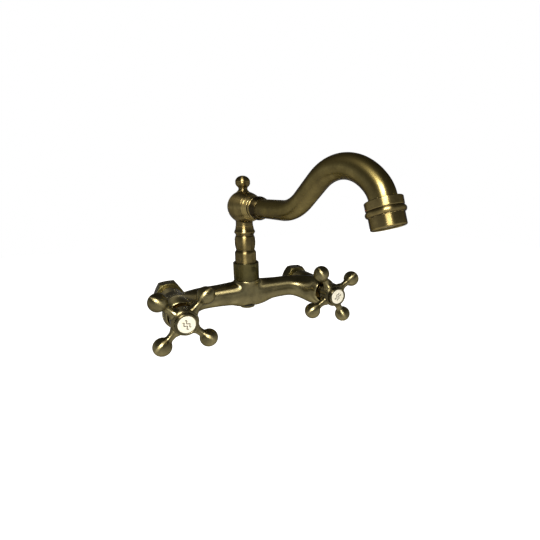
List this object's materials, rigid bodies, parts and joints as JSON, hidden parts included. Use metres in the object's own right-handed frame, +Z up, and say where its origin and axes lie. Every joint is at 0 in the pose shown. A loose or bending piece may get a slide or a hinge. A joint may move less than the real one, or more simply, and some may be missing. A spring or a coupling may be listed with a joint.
{
  "type": "wall-mounted bridge mixer tap",
  "caption": "Wall-mounted bridge mixer tap with cross handles and a swivelling swan spout, for a bath or sink.",
  "frame": {"origin": "midway between the two inlet axes, in the plane of the union nuts' wall faces", "axes": "+X along the bridge from the hot to the cold side, +Y into the wall, +Z up; the spout points towards -Y"},
  "size_m": [0.2092, 0.2269, 0.162],
  "materials": {
    "antique_bronze": "brushed antique bronze patina, lacquered",
    "antique_bronze_nut": "flatter olive patina, lacquered",
    "plain_brass": "machined",
    "stainless_steel": "drawn wire and pressed sheet",
    "black_rubber": "moulded",
    "alumina_ceramic": "lapped alumina ceramic",
    "fibre": "vulcanised fibre",
    "nylon": "moulded",
    "ivory_enamel": "glazed ivory enamel"
  },
  "bodies": {
    "fixed_body": {"bridge_body": "antique_bronze", "bottom_plug": "antique_bronze", "bottom_plug_seal": "black_rubber", "column_nut": "antique_bronze_nut", "thrust_washer": "nylon", "left_union_nut": "antique_bronze", "right_union_nut": "antique_bronze", "left_nut_snap_ring": "stainless_steel", "left_inlet_washer": "fibre", "left_headwork": "plain_brass", "left_headwork_gasket": "black_rubber", "left_fixed_disc": "alumina_ceramic", "left_seat_seal": "black_rubber", "right_nut_snap_ring": "stainless_steel", "right_inlet_washer": "fibre", "right_headwork": "plain_brass", "right_headwork_gasket": "black_rubber", "right_fixed_disc": "alumina_ceramic", "right_seat_seal": "black_rubber"},
    "spout": {"column_post": "antique_bronze", "column_o_rings": "black_rubber", "column_slip_ring": "nylon", "hub_joint_seal": "black_rubber", "spout_hub": "antique_bronze", "finial": "antique_bronze", "spout_tube": "antique_bronze", "spout_collar": "antique_bronze", "aerator_shell": "antique_bronze", "aerator_insert": "nylon", "aerator_screen": "stainless_steel", "aerator_washer": "black_rubber"},
    "left_handle": {"left_handle_hub": "antique_bronze", "left_handle_arm_1": "antique_bronze", "left_handle_arm_2": "antique_bronze", "left_handle_arm_3": "antique_bronze", "left_handle_arm_4": "antique_bronze", "left_handle_bezel": "antique_bronze", "left_index_disc": "ivory_enamel", "left_handle_screw": "stainless_steel", "left_spindle": "plain_brass", "left_spindle_clip": "stainless_steel", "left_spindle_o_rings": "black_rubber", "left_moving_disc": "alumina_ceramic"},
    "right_handle": {"right_handle_hub": "antique_bronze", "right_handle_arm_1": "antique_bronze", "right_handle_arm_2": "antique_bronze", "right_handle_arm_3": "antique_bronze", "right_handle_arm_4": "antique_bronze", "right_handle_bezel": "antique_bronze", "right_index_disc": "ivory_enamel", "right_handle_screw": "stainless_steel", "right_spindle": "plain_brass", "right_spindle_clip": "stainless_steel", "right_spindle_o_rings": "black_rubber", "right_moving_disc": "alumina_ceramic"}
  },
  "joints": [
    {"name": "spout_swivel", "type": "hinge", "parent": "fixed_body", "child": "spout", "pos_m": [0, -0.039, 0.025], "axis": [0, 0, 1], "range_deg": [-98, 82]},
    {"name": "left_handle_turn", "type": "hinge", "parent": "fixed_body", "child": "left_handle", "pos_m": [-0.075, -0.089, 0], "axis": [0, -1, 0], "range_deg": [0, 90]},
    {"name": "right_handle_turn", "type": "hinge", "parent": "fixed_body", "child": "right_handle", "pos_m": [0.075, -0.089, 0], "axis": [0, 1, 0], "range_deg": [0, 90]}
  ]
}
